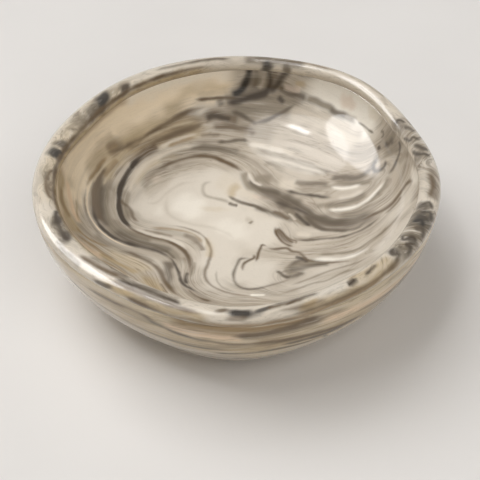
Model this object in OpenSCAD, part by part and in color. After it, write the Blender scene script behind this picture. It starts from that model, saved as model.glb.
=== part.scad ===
// A ring dish: a marbled slab bowl with a flat foot, a rolled coil on its edge and a clear coat.
// The origin is the middle of the foot, on the table, and the front of the dish faces -Y.

/* [Dish] */
// Width of the dish over its coat, before the waves of the rim
dish_d = 100; // [92:1:120]
// Height of the dish from the table to the top of its coat, before the waves of the rim
dish_h = 31; // [26:0.5:38]
// Depth of the ellipse that the outer wall follows, below the middle of the coil
belly_h = 39; // [36:0.5:60]
// Height above the table where the outer wall starts to turn under
turn_h = 4; // [2.5:0.25:6]
// Width of the flat foot
foot_d = 58; // [44:1:60]
// Thickness of the floor in the middle of the bowl
floor_t = 5; // [3:0.2:8]
// Fullness of the bowl's section: 2 is an ellipse, and more is a flatter floor and a steeper wall
bowl_fullness = 2.2; // [2:0.1:3.2]

/* [Rim coil] */
// Width of the coil's oval section, before the waves of the rim
coil_w = 4.3; // [3.6:0.1:6]
// Height of the coil's oval section
coil_h = 3.6; // [3:0.1:5]
// Angle below the coil's middle where the saddle's outer edge lies
saddle_out = 30; // [20:1:45]
// Angle below the coil's middle where the saddle's inner edge lies
saddle_in = 38; // [20:1:50]
// Height over which the outer wall rounds in to the saddle
seam_h = 1.2; // [0.6:0.1:2]

/* [Clear coat] */
// Thickness of the clear coat
coat_t = 0.35; // [0.2:0.05:0.6]
// Height above the table where the clear coat stops
coat_stop = 1; // [0.6:0.1:2]

/* [Waves of the rim] */
// How strongly the rim waves: 0 is a true circle
wave_gain = 1; // [0:0.1:1.4]

/* [Hidden] */

// The hand's uneven pressure: where each wave lies round the rim, its spread (degrees), how far it
// pushes the rim out, lifts it, and widens the coil (mm). 0 degrees is +X and 90 degrees the back.
waves = [
    [20, 20, -0.8, -0.7, 0],
    [50, 20, 0.9, 0.3, -1.3],
    [85, 24, 0, 0, -1.1],
    [125, 22, 0, 0.3, 0.7],
    [155, 20, 0, -0.5, 1.9],
    [200, 26, 0.6, 0, 0.9],
    [235, 22, -0.4, 0.5, 0],
    [270, 20, 0.6, -0.7, -0.3],
    [300, 24, -0.5, 0.3, -0.4],
    [335, 22, -0.3, 0.3, 0.5]
];
PUSH = 2;
LIFT = 3;
WIDEN = 4;

// Steps round the dish, and along each stretch of its section
round_steps = 60;
wall_steps = 7;
coil_steps = 12;
saddle_steps = 6;
bowl_steps = 11;
// Share of the way from the foot up to the coat's edge, and on to the turn, of the rows between
foot_row = 0.3;
turn_row = 0.4;

foot_r = foot_d / 2;
coil_start = -saddle_out;
coil_end = 180 + saddle_in;

// The smallest turn between two directions
function nearest(angle) = angle - 360 * round(angle / 360);
function total(list) = list * [for (item = list) 1];
function wave(a, what) =
    wave_gain * total([for (w = waves) w[what] * exp(-pow(nearest(a - w[0]) / w[1], 2))]);

// The coil's oval section at angle a: half its width and height, and its middle
function coil_a(a) = (coil_w + wave(a, WIDEN)) / 2;
function coil_b() = coil_h / 2;
function rim_r(a) = dish_d / 2 - coat_t + wave(a, PUSH);
function coil_z(a) = dish_h - coat_t - coil_b() + wave(a, LIFT);
function coil_point(a, t) =
    [rim_r(a) - coil_a(a) + coil_a(a) * cos(t), coil_z(a) + coil_b() * sin(t)];

// The outer wall: an ellipse down to the turn, and a soft curve from there to the edge of the foot
function belly_drop(a, z) = (coil_z(a) - z) / belly_h;
function belly_r(a, z) = rim_r(a) * sqrt(1 - pow(belly_drop(a, z), 2));
function belly_lean(a, z) =
    rim_r(a) * belly_drop(a, z) / (belly_h * sqrt(1 - pow(belly_drop(a, z), 2)));
function turn_r(a) = max(foot_r, belly_r(a, turn_h) - turn_h * belly_lean(a, turn_h));
function under_r(a, t) =
    pow(1 - t, 2) * belly_r(a, turn_h) + 2 * t * (1 - t) * turn_r(a) + t * t * foot_r;
function outer_r(a, z) = z < turn_h ? under_r(a, 1 - sqrt(z / turn_h)) : belly_r(a, z);

// Rows of the outer wall from the foot up: those under the coat's edge, and those that it covers
function bare_rows(a) = [for (z = [0, foot_row * coat_stop]) [outer_r(a, z), z]];
function wall_rows(a) =
    let (seam = coil_point(a, coil_start), top = seam[1] - seam_h)
    [
        for (z = [coat_stop, coat_stop + turn_row * (turn_h - coat_stop)]) [outer_r(a, z), z],
        for (i = [0:wall_steps])
            let (z = turn_h + (top - turn_h) * i / wall_steps)
            [outer_r(a, z), z],
        seam
    ];

// Rows of the coil above its saddle, and of the saddle itself, without the two seams
function crown_rows(a) =
    [for (i = [1:coil_steps - 1]) coil_point(a, coil_start + (coil_end - coil_start) * i / coil_steps)];
function saddle_rows(a) =
    let (last = coil_end - 360)
    [for (i = [1:saddle_steps - 1]) coil_point(a, coil_start + (last - coil_start) * i / saddle_steps)];

// Rows of the bowl from the inner seam down, without the middle of the floor
function bowl_rows(a) =
    let (seam = coil_point(a, coil_end), power = 2 / bowl_fullness)
    [
        for (i = [0:bowl_steps - 1])
            let (t = 90 * i / bowl_steps)
            [seam[0] * pow(cos(t), power), seam[1] - (seam[1] - floor_t) * pow(sin(t), power)]
    ];

// The skin that shows, from the coat's edge up, over the coil and down the bowl
function skin(a) = concat(wall_rows(a), crown_rows(a), bowl_rows(a));

// The skin moved out by the coat's thickness, square to it
function unit(v) = v / norm(v);
function coated(a) =
    let (s = skin(a), last = len(s) - 1)
    [
        for (i = [0:last])
            let (
                before = s[max(i - 1, 0)],
                after = i == last ? [0, floor_t] : s[i + 1],
                along = unit(after - before)
            )
            s[i] + coat_t * [along[1], -along[0]]
    ];

// Points of the rows set round the dish, step by step
function placed(section, a) = [for (p = section) [p[0] * cos(a), p[0] * sin(a), p[1]]];
function angle_of(step) = 360 * step / round_steps;

// Triangles between rows first to last of a net with count rows, facing out or turned over
function band(count, first, last, start = 0, turned = false) = [
    for (j = [0:round_steps - 1], i = [first:last - 1])
        let (
            a = start + j * count + i,
            b = start + j * count + (i + 1) % count,
            d = start + ((j + 1) % round_steps) * count + i,
            c = start + ((j + 1) % round_steps) * count + (i + 1) % count
        )
        each turned ? [[a, c, b], [a, d, c]] : [[a, b, c], [a, c, d]]
];

// Triangles from one row to a single point, the pole
function fan(count, row, pole, start = 0, turned = false) = [
    for (j = [0:round_steps - 1])
        let (
            a = start + j * count + row,
            d = start + ((j + 1) % round_steps) * count + row
        )
        turned ? [a, d, pole] : [a, pole, d]
];

// The slab bowl, with a saddle along its edge where the coil sits
module dish_body() {
    nets = [
        for (j = [0:round_steps - 1])
            let (a = angle_of(j))
            concat(bare_rows(a), wall_rows(a), saddle_rows(a), bowl_rows(a))
    ];
    count = len(nets[0]);
    foot_pole = round_steps * count;
    floor_pole = foot_pole + 1;
    points = concat(
        [for (j = [0:round_steps - 1]) each placed(nets[j], angle_of(j))],
        [[0, 0, 0], [0, 0, floor_t]]
    );
    faces = concat(
        fan(count, 0, foot_pole, turned = true),
        band(count, 0, count - 1),
        fan(count, count - 1, floor_pole)
    );
    color([0.80, 0.75, 0.67]) polyhedron(points, faces, convexity = 4);
}

// The rolled coil: an oval ring whose lower side lies in the saddle
module rim_coil() {
    nets = [
        for (j = [0:round_steps - 1])
            let (a = angle_of(j), saddle = saddle_rows(a), under = len(saddle) - 1)
            concat(
                [coil_point(a, coil_start)],
                crown_rows(a),
                [coil_point(a, coil_end)],
                [for (i = [under:-1:0]) saddle[i]]
            )
    ];
    count = len(nets[0]);
    points = [for (j = [0:round_steps - 1]) each placed(nets[j], angle_of(j))];
    color([0.60, 0.55, 0.48]) polyhedron(points, band(count, 0, count), convexity = 4);
}

// The clear coat: a thin shell on the wall, the coil and the bowl, open round the foot
module clear_coat() {
    inner = [for (j = [0:round_steps - 1]) skin(angle_of(j))];
    outer = [for (j = [0:round_steps - 1]) coated(angle_of(j))];
    count = len(inner[0]);
    outer_start = round_steps * count;
    inner_pole = 2 * outer_start;
    outer_pole = inner_pole + 1;
    points = concat(
        [for (j = [0:round_steps - 1]) each placed(inner[j], angle_of(j))],
        [for (j = [0:round_steps - 1]) each placed(outer[j], angle_of(j))],
        [[0, 0, floor_t], [0, 0, floor_t + coat_t]]
    );
    lip = [
        for (j = [0:round_steps - 1])
            let (
                a = j * count,
                d = ((j + 1) % round_steps) * count
            )
            each [[a, outer_start + a, outer_start + d], [a, outer_start + d, d]]
    ];
    faces = concat(
        band(count, 0, count - 1, turned = true),
        fan(count, count - 1, inner_pole, turned = true),
        band(count, 0, count - 1, start = outer_start),
        fan(count, count - 1, outer_pole, start = outer_start),
        lip
    );
    color([0.96, 0.96, 0.94, 0.35]) polyhedron(points, faces, convexity = 6);
}

dish_body();
rim_coil();
clear_coat();
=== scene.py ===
import math

import bmesh
import bpy
import numpy as np
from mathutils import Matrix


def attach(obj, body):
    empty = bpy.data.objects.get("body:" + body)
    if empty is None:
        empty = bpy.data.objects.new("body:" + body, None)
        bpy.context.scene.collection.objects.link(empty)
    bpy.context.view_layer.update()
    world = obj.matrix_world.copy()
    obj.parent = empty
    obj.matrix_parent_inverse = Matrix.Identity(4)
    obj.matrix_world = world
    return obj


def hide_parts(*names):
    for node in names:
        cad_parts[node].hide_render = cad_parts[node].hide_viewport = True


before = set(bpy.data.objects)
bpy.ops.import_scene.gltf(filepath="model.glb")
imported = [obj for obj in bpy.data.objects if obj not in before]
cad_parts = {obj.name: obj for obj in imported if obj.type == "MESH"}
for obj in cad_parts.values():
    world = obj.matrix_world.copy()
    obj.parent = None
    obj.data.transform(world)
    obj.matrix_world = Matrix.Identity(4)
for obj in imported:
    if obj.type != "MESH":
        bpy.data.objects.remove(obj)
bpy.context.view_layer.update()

MM = 0.001

# ---------------------------------------------------------------------------------------------
# The view: the dish seen from the front and well above, as it lies on the table.
camera_data = bpy.data.cameras.new("view_from_front")
camera_data.angle = math.radians(28)
camera_data.clip_start = 0.01
camera = bpy.data.objects.new("view_from_front", camera_data)
camera.location = (0.000477, -0.18532, 0.18035)
camera.rotation_euler = (math.radians(46.62), 0, 0)
bpy.context.scene.collection.objects.link(camera)
bpy.context.scene.camera = camera

# ---------------------------------------------------------------------------------------------
# The slab bowl: a sheet of cream, tan, grey and near-black clays rolled together, pressed over a
# form by hand, so that its rim waves. Its foot is bare clay, and a clear gloss coat covers the
# rest of it, ending in a small lip just above the table.
DISH_D, DISH_H, BELLY_H, TURN_H = 100, 31, 39, 4
FOOT_R, FLOOR_T, FULLNESS = 29, 5, 2.2
COIL_W, COIL_H = 4.3, 3.6
SEAM_OUT, SEAM_IN, SEAM_H = -30, 218, 1.2
COAT_T, COAT_STOP = 0.35, 1.0
# Where each wave of the rim lies (degrees, 0 is +X), its spread, and how far it pushes the rim out,
# lifts it and widens the coil (mm)
WAVES = np.array([
    [20, 20, -0.8, -0.7, 0], [50, 20, 0.9, 0.3, -1.3], [85, 24, 0, 0, -1.1], [125, 22, 0, 0.3, 0.7],
    [155, 20, 0, -0.5, 1.9], [200, 26, 0.6, 0, 0.9], [235, 22, -0.4, 0.5, 0],
    [270, 20, 0.6, -0.7, -0.3], [300, 24, -0.5, 0.3, -0.4], [335, 22, -0.3, 0.3, 0.5],
])
ROUND_STEPS, WEDGES = 540, 18
TURN = np.arange(ROUND_STEPS) * 360 / ROUND_STEPS


def wave(what):
    away = TURN[:, None] - WAVES[:, 0]
    away -= 360 * np.round(away / 360)
    return (WAVES[:, what] * np.exp(-(away / WAVES[:, 1]) ** 2)).sum(1)


RIM_R = DISH_D / 2 - COAT_T + wave(2)
COIL_A = (COIL_W + wave(4)) / 2
COIL_B = COIL_H / 2
COIL_Z = DISH_H - COAT_T - COIL_B + wave(3)


def coil_point(angle):
    angle = math.radians(angle)
    return RIM_R - COIL_A + COIL_A * math.cos(angle), COIL_Z + COIL_B * math.sin(angle)


def belly_r(z):
    return RIM_R * np.sqrt(1 - ((COIL_Z - z) / BELLY_H) ** 2)


def outer_r(z):
    if np.min(z) >= TURN_H:
        return belly_r(z)
    drop = (COIL_Z - TURN_H) / BELLY_H
    lean = RIM_R * drop / (BELLY_H * np.sqrt(1 - drop ** 2))
    knee = np.maximum(FOOT_R, belly_r(TURN_H) - TURN_H * lean)
    t = 1 - math.sqrt(z / TURN_H)
    return (1 - t) ** 2 * belly_r(TURN_H) + 2 * t * (1 - t) * knee + t * t * FOOT_R


def level_row(r, z):
    return np.broadcast_to(r, TURN.shape), np.broadcast_to(z, TURN.shape)


WALL_ROWS, CROWN_ROWS, BOWL_ROWS, SADDLE_ROWS = 24, 44, 126, 6


def glazed_rows():
    """Rows of the coated skin from its lip up the wall, over the coil and down to the bowl's middle."""
    seam_r, seam_z = coil_point(SEAM_OUT)
    top = seam_z - SEAM_H
    rows = [level_row(outer_r(z), z) for z in (1.0, 1.6, 2.4, 3.2)]
    for i in range(WALL_ROWS + 1):
        z = TURN_H + (top - TURN_H) * i / WALL_ROWS
        rows.append((outer_r(z), z))
    for share in (0.35, 0.65, 0.85):
        r = outer_r(top) + (seam_r - outer_r(top)) * share ** 2
        rows.append((r, top + SEAM_H * share))
    wall = len(rows)
    for i in range(CROWN_ROWS + 1):
        rows.append(coil_point(SEAM_OUT + (SEAM_IN - SEAM_OUT) * i / CROWN_ROWS))
    edge_r, edge_z = rows[-1]
    for i in range(1, BOWL_ROWS + 1):
        t = math.pi / 2 * i / BOWL_ROWS
        power = 2 / FULLNESS
        r = edge_r * max(math.cos(t), 0) ** power
        rows.append((r, edge_z - (edge_z - FLOOR_T) * math.sin(t) ** power))
    r = np.array([row[0] for row in rows])
    z = np.array([row[1] for row in rows])
    along_r, along_z = np.gradient(r, axis=0), np.gradient(z, axis=0)
    along_r[-1], along_z[-1] = -1, 0
    size = np.hypot(along_r, along_z)
    return r + COAT_T * along_z / size, z - COAT_T * along_r / size, wall


SKIN_R, SKIN_Z, WALL = glazed_rows()
CROWN = WALL + CROWN_ROWS                      # the row of the inner seam


def spun(name, rows_r, rows_z, ring=False):
    """Spin a section a full turn, then press each step of it to the hand's waves."""
    count = len(rows_r)
    mesh = bmesh.new()
    row_of = mesh.verts.layers.float.new("row")
    chain = []
    for i in range(count):
        vert = mesh.verts.new((rows_r[i][0] * MM, 0, rows_z[i][0] * MM))
        vert[row_of] = i
        chain.append(vert)
    for i in range(count if ring else count - 1):
        mesh.edges.new((chain[i], chain[(i + 1) % count]))
    wedge = 2 * math.pi / WEDGES
    bmesh.ops.spin(mesh, geom=mesh.verts[:] + mesh.edges[:], cent=(0, 0, 0), axis=(0, 0, 1),
                   angle=wedge, steps=ROUND_STEPS // WEDGES)
    bmesh.ops.spin(mesh, geom=mesh.verts[:] + mesh.edges[:] + mesh.faces[:], cent=(0, 0, 0),
                   axis=(0, 0, 1), angle=2 * math.pi - wedge, steps=WEDGES - 1, use_duplicate=True)
    bmesh.ops.remove_doubles(mesh, verts=mesh.verts, dist=1e-6)
    rows, steps = [], []
    for vert in mesh.verts:
        i = round(vert[row_of])
        j = round(math.degrees(math.atan2(vert.co.y, vert.co.x)) / 360 * ROUND_STEPS) % ROUND_STEPS
        rows.append(i)
        steps.append(j)
        turn = math.radians(TURN[j])
        vert.co = (rows_r[i][j] * MM * math.cos(turn), rows_r[i][j] * MM * math.sin(turn),
                   rows_z[i][j] * MM)
    bmesh.ops.recalc_face_normals(mesh, faces=mesh.faces)
    for face in mesh.faces:
        face.smooth = True
    data = bpy.data.meshes.new(name)
    mesh.to_mesh(data)
    mesh.free()
    piece = bpy.data.objects.new(name, data)
    bpy.context.scene.collection.objects.link(piece)
    return piece, np.array(rows), np.array(steps)


def saddle_rows():
    turn = SEAM_IN - 360 - SEAM_OUT
    return [coil_point(SEAM_OUT + turn * i / SADDLE_ROWS) for i in range(1, SADDLE_ROWS)]


FOOT_ROWS = np.array([0, 3, 7, 11, 14.5, 18, 21, 24, 26.5, 28.6])
foot = [level_row(r, 0) for r in FOOT_ROWS]
foot += [level_row(outer_r(z), z) for z in (0.08, 0.3, 0.6, 0.9)]
lip = [(SKIN_R[0] - COAT_T * share, SKIN_Z[0] - 0.12 * (1 - drop))
       for share, drop in ((0.75, 0), (0.25, 0.3))]
section = foot + lip + [(SKIN_R[i], SKIN_Z[i]) for i in range(WALL + 1)] + saddle_rows()
inner_from = len(section)
section += [(SKIN_R[i], SKIN_Z[i]) for i in range(CROWN, len(SKIN_R))]
bowl, row, step = spun("slab_bowl", [s[0] for s in section],
                       [s[1] + 0 * TURN for s in section])

# How far each point lies from the bowl's middle along the coated skin, and flat slab places (mm)
inner_r, inner_z = SKIN_R[CROWN:], SKIN_Z[CROWN:]
gap = np.hypot(np.diff(inner_r, axis=0), np.diff(inner_z, axis=0))
from_middle = np.vstack([np.cumsum(gap[::-1], 0)[::-1], np.zeros(ROUND_STEPS)])


def linear(colour):
    """A colour written as seen (0-255), as the linear one that a material takes."""
    c = np.array(colour) / 255
    return np.where(c <= 0.04045, c / 12.92, ((c + 0.055) / 1.055) ** 2.4)


# The butter colour is paler than the clay it stands for: it also holds painted light for the dim left and back wall
CLAY = {name: linear(colour) for name, colour in {
    "ivory": (249, 243, 231), "butter_lit": (251, 233, 204), "cream": (219, 210, 196), "shell": (216, 205, 188),
    "sand": (204, 187, 158), "peach": (239, 211, 178), "tan": (182, 160, 122),
    "ochre": (144, 118, 78), "bark": (88, 67, 38), "umber": (52, 38, 20), "pitch": (28, 20, 10),
    "ash": (186, 174, 157), "smoke": (130, 118, 99), "slate": (82, 69, 51),
    "blush": (226, 208, 190),
}.items()}


def curve(points):
    """A smooth line through points, in short steps."""
    points = np.array(points, float)
    if len(points) < 3:
        return np.linspace(points[0], points[-1], 12)
    ends = np.vstack([2 * points[0] - points[1], points, 2 * points[-1] - points[-2]])
    out = []
    for a, b, c, d in zip(ends, ends[1:], ends[2:], ends[3:]):
        t = np.linspace(0, 1, 7)[:-1, None]
        out.append(0.5 * (2 * b + (c - a) * t + (2 * a - 5 * b + 4 * c - d) * t ** 2
                          + (3 * b - a - 3 * c + d) * t ** 3))
    return np.vstack(out + [points[-1:]])


def soft(value):
    value = np.clip(value, 0, 1)
    return value * value * (3 - 2 * value)


def ripple(flat, size):
    """A gentle waver, from -1 to 1, that never repeats within the dish."""
    x, y = flat[:, 0] / size, flat[:, 1] / size
    return (np.sin(x + 1.7 * y + 0.4) + np.sin(2.3 * x - 1.1 * y + 2.1)
            + np.sin(-1.3 * x + 2.9 * y + 4.2)) / 3


class Slab:
    """Clays laid over a surface whose points have flat places in mm: soft fields, and fine threads."""

    def __init__(self, flat, ground, contrast, around=0):
        self.flat, self.around = flat, around
        self.colour = np.tile(CLAY[ground], (len(flat), 1))
        self.contrast = np.full(len(flat), float(contrast))
        self.layers = []

    def beside(self, place):
        away = self.flat - place
        if self.around:
            away[:, 0] -= self.around * np.round(away[:, 0] / self.around)
        return away

    def lay(self, which, clay, share):
        share = share[:, None]
        self.colour[which] += (CLAY[clay] - self.colour[which]) * share

    def patch(self, clay, share, x, y, rx, ry, turn=0, contrast=None):
        away = self.beside((x, y))
        c, s = math.cos(math.radians(turn)), math.sin(math.radians(turn))
        far = np.hypot((away[:, 0] * c + away[:, 1] * s) / rx, (away[:, 1] * c - away[:, 0] * s) / ry)
        far += 0.2 * ripple(away, 0.3 * min(rx, ry) + 0.8)
        which = np.nonzero(far < 1.6)[0]
        mask = share * soft((1.5 - far[which]) / 1)
        self.lay(which, clay, mask)
        if contrast is not None:
            self.contrast[which] += (contrast - self.contrast[which]) * mask

    def along(self, points, reach):
        path = curve(points)
        middle = path.mean(0)
        path = path - middle
        place = self.beside(middle)
        which = np.nonzero(np.all((place > path.min(0) - reach) & (place < path.max(0) + reach), 1))[0]
        step = np.diff(path, axis=0)
        size = np.hypot(step[:, 0], step[:, 1])
        away = place[which][:, None, :] - path[:-1]
        share = np.clip((away * step).sum(-1) / size ** 2, 0, 1)
        off = away - share[..., None] * step
        near = np.hypot(off[..., 0], off[..., 1])
        best = near.argmin(1)
        pick = np.arange(len(which))
        side = step[best, 0] * away[pick, best, 1] - step[best, 1] * away[pick, best, 0]
        left = np.where(side < 0, -1, 1) * near[pick, best]
        on = (best + share[pick, best]) / len(step)
        keep = near[pick, best] < reach
        return which[keep], left[keep], on[keep], size.sum()

    def band(self, clay, width, blur, share, points, contrast=None, fade=0.12):
        which, left, on, length = self.along(points, width / 2 + blur * 1.6 + 0.5)
        fade = min(0.5, max(fade, 0.7 * width / length))
        left = left + 0.35 * blur * ripple(self.flat[which], 2.2)
        end = soft(on / fade) * soft((1 - on) / fade)
        mask = share * end * soft((width / 2 + blur - np.abs(left)) / (2 * blur))
        self.lay(which, clay, mask)
        if contrast is not None:
            self.contrast[which] += (contrast - self.contrast[which]) * mask

    def thread(self, clay, width, blur, share, points, fade=0.16):
        half = 0.6 * width
        which, left, on, _ = self.along(points, half + blur + 2.0)
        for layer in self.layers:
            if not layer["busy"][which].any():
                break
        else:
            count = len(self.flat)
            layer = {"busy": np.zeros(count, bool), "line": np.tile([9.0, 0.0, 0.3], (count, 1)),
                     "clay": np.zeros((count, 4))}
            self.layers.append(layer)
        end = soft(on / fade) * soft((1 - on) / fade)
        near = soft((half + blur + 1.4 - np.abs(left)) / 0.6)
        layer["busy"][which] = True
        layer["line"][which] = np.stack([left, half * (0.45 + 0.55 * end), np.full(len(left), blur)], 1)
        layer["clay"][which, :3] = CLAY[clay]
        layer["clay"][which, 3] = share * np.sqrt(end) * near


def strand_levels(guides, at):
    """A smooth height over the slab whose contours run along the guides, each at its own height."""
    known = [(p, level) for level, points in guides for p in curve(points)[::5]]
    place = np.array([p for p, _ in known])
    level = np.array([v for _, v in known])

    def bend(a, b):
        d2 = ((a[:, None] - b[None]) ** 2).sum(-1)
        return 0.5 * d2 * np.log(d2 + 1e-9)

    n = len(place)
    plane = np.c_[np.ones(n), place]
    whole = np.zeros((n + 3, n + 3))
    whole[:n, :n] = bend(place, place) + 2.0 * np.eye(n)
    whole[:n, n:], whole[n:, :n] = plane, plane.T
    weight = np.linalg.solve(whole, np.r_[level, 0, 0, 0])
    out = [bend(part, place) @ weight[:n] + np.c_[np.ones(len(part)), part] @ weight[n:]
           for part in np.array_split(at, 40)]
    return np.concatenate(out)


inside = row >= inner_from
turn = np.radians(TURN[step])
distance = from_middle[np.clip(row - inner_from, 0, len(from_middle) - 1), step]
flat = np.stack([distance * np.cos(turn), distance * np.sin(turn)], 1)[inside]
hollow = Slab(flat, "ash", 0.6)

# Fields of clay in the hollow, from the wall to the pool. The butter and ivory fields high on the left and back wall
# are also painted light: paler than the clay, for light that the lamps don't give there
for clay, width, blur, share, contrast, points in [
    ("ash", 22, 6, 0.9, 0.5, [(6, 40), (18, 32), (28, 20), (36, 6), (40, -8)]),
    ("ash", 16, 5, 0.7, 0.45, [(-14, 38), (-2, 38), (10, 34), (20, 26)]),
    # Painted light: these butter and ivory fields are the pale clay of the left and back wall, made paler to stand in
    # for light that is missing there
    ("butter_lit", 14, 3.5, 0.95, 0.12, [(-52, -18), (-52, -6), (-49, 5), (-46.5, 14), (-43, 23), (-38, 31), (-31, 38), (-24, 43)]),
    ("butter_lit", 12, 3.5, 1, 0.05, [(-45, 25), (-38, 34), (-30, 42), (-20, 48.6), (-9, 53.4), (1, 55)]),
    ("ivory", 5, 2.4, 0.6, 0.05, [(-40, 39), (-32, 45), (-22, 50.6), (-10, 55), (0, 56.4)]),
    ("ivory", 11, 2.6, 1, 0.05, [(19, 52.5), (28, 46.6), (35.5, 40.5), (41, 34), (45.6, 27.6)]),
    ("ochre", 1.6, 0.9, 0.6, 0.2, [(-55, 4), (-54.2, 9), (-52, 15), (-49.2, 21), (-45, 29), (-40.4, 36), (-35.6, 41)]),
    ("tan", 4.6, 1.6, 0.9, 0.2, [(-52.6, 6.4), (-52.4, 1.6), (-50.6, -2.6), (-47.6, -6.2), (-44.6, -9.4), (-42.4, -12.6)]),
    ("ochre", 1.8, 0.9, 0.75, 0.2, [(-51, 0.4), (-50, -3.6), (-47.6, -5.8), (-45.4, -7)]),
    ("sand", 3.4, 1.4, 0.6, 0.1, [(-48.4, 8), (-47.6, 5), (-46.6, 3)]),
    ("peach", 1.8, 0.9, 0.85, 0.1, [(-49.6, 5), (-47.2, 0.8), (-44.8, -3.2), (-42.2, -6.6)]),
    ("peach", 3.4, 1.4, 0.7, 0.1, [(-51, -8.6), (-47.6, -12.6), (-43, -14.8), (-38, -15.4), (-34, -15.6)]),
    ("ochre", 4, 1.8, 0.5, 0.2, [(-49, -13.6), (-45, -16.6), (-40, -18.6), (-34, -20.6)]),
    ("tan", 3, 1.6, 0.5, 0.1, [(-24, 40), (-19, 45.4), (-14, 49.4), (-8, 50.6), (-2, 50)]),
    ("tan", 6, 2, 0.6, 0.2, [(-36, 26), (-32, 30), (-27, 34), (-21, 39), (-14, 43.6)]),
    ("ochre", 3.4, 1.8, 0.45, 0.2, [(-41.5, 10), (-42.4, 17), (-40.6, 23), (-37, 28.6)]),
    ("tan", 6, 1.8, 0.75, 0.3, [(-39.6, 12), (-38.6, 18), (-35.4, 24), (-30, 29), (-24, 33.4), (-16, 37.6), (-8, 40)]),
    ("smoke", 7, 2, 0.8, 0.35, [(-6, 46), (2, 45.6), (10, 45.4), (16, 46.4), (20, 47)]),
    ("smoke", 6, 2, 0.55, 0.35, [(-8, 41), (0, 40.4), (6, 38), (12, 36)]),
    ("shell", 5, 2, 0.75, 0.1, [(14, 41.4), (20, 41), (26, 37.6), (31, 32), (34, 26)]),
    ("smoke", 4.6, 1.1, 0.9, 0.15, [(-36.2, 17), (-36.8, 11), (-36.4, 5), (-34.6, 0.4), (-31.4, -2.4), (-27, -3.2), (-22, -3.6), (-18, -5), (-15.6, -8), (-14.6, -12)]),
    ("slate", 1.5, 0.8, 0.75, 0.2, [(-38, 12), (-37.8, 8), (-37.4, 4), (-36.2, 0.4), (-34.6, -2.4)]),
    ("slate", 3.2, 1.2, 0.7, 0.2, [(-33, -1.8), (-29.4, -4), (-25, -4.8), (-20, -4.8), (-17, -6)]),
    ("ash", 1.3, 0.6, 0.7, 0.1, [(-35.4, 12), (-34.8, 7.4), (-34.2, 4), (-33, 1)]),
    ("ash", 1.3, 0.6, 0.7, 0.1, [(-24, -3.2), (-20.4, -3.2), (-17, -4), (-15, -6), (-14, -8.6)]),
    ("bark", 2.8, 0.9, 0.85, 0.15, [(-38.2, 19), (-39.6, 14), (-39.8, 9.4), (-39.4, 5), (-38.2, 1.2), (-36.6, -1.8)]),
    ("smoke", 2.2, 0.8, 0.75, 0.2, [(-38.6, -7), (-35.4, -8.2), (-31.4, -9), (-27, -9.2), (-23.6, -10.4), (-21.6, -12)]),
    ("ash", 1.8, 0.8, 0.8, 0.1, [(-33.6, -7), (-29.6, -7.8), (-25, -8), (-21.4, -8.6), (-19, -10), (-18, -11.6)]),
    ("slate", 2.8, 1, 0.85, 0.15, [(-17.8, -9.4), (-17.7, -12.6), (-17.6, -16), (-17, -19.6), (-15.4, -23)]),
    ("ash", 2, 0.8, 0.8, 0.1, [(-15.9, -12), (-15.8, -16), (-15.6, -20), (-13.6, -24)]),
    ("sand", 4.4, 1.6, 0.85, 0.6, [(-35, -12.6), (-30, -12.8), (-25.6, -14), (-22.4, -17)]),
    ("tan", 1.8, 0.8, 0.85, 0.2, [(-36.4, -14.6), (-32.6, -15.4), (-29, -16.4), (-25, -17.8)]),
    ("tan", 5, 2, 0.7, 0.6, [(-26, -20), (-22.6, -20.6), (-20.6, -24), (-18, -27)]),
    ("shell", 16, 5, 0.8, 0.3, [(-42, -30), (-24, -44), (0, -48), (24, -44), (42, -30)]),
    ("smoke", 2.4, 0.9, 0.7, 0.15, [(-30.8, 14), (-30.9, 10), (-30.5, 6), (-29.3, 3)]),
    ("sand", 2.2, 0.8, 0.6, 0.1, [(-29.6, 15), (-28, 19.4), (-25.4, 23.6), (-21.6, 27), (-17, 29.8)]),
]:
    hollow.band(clay, width, blur, share, points, contrast)

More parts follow.
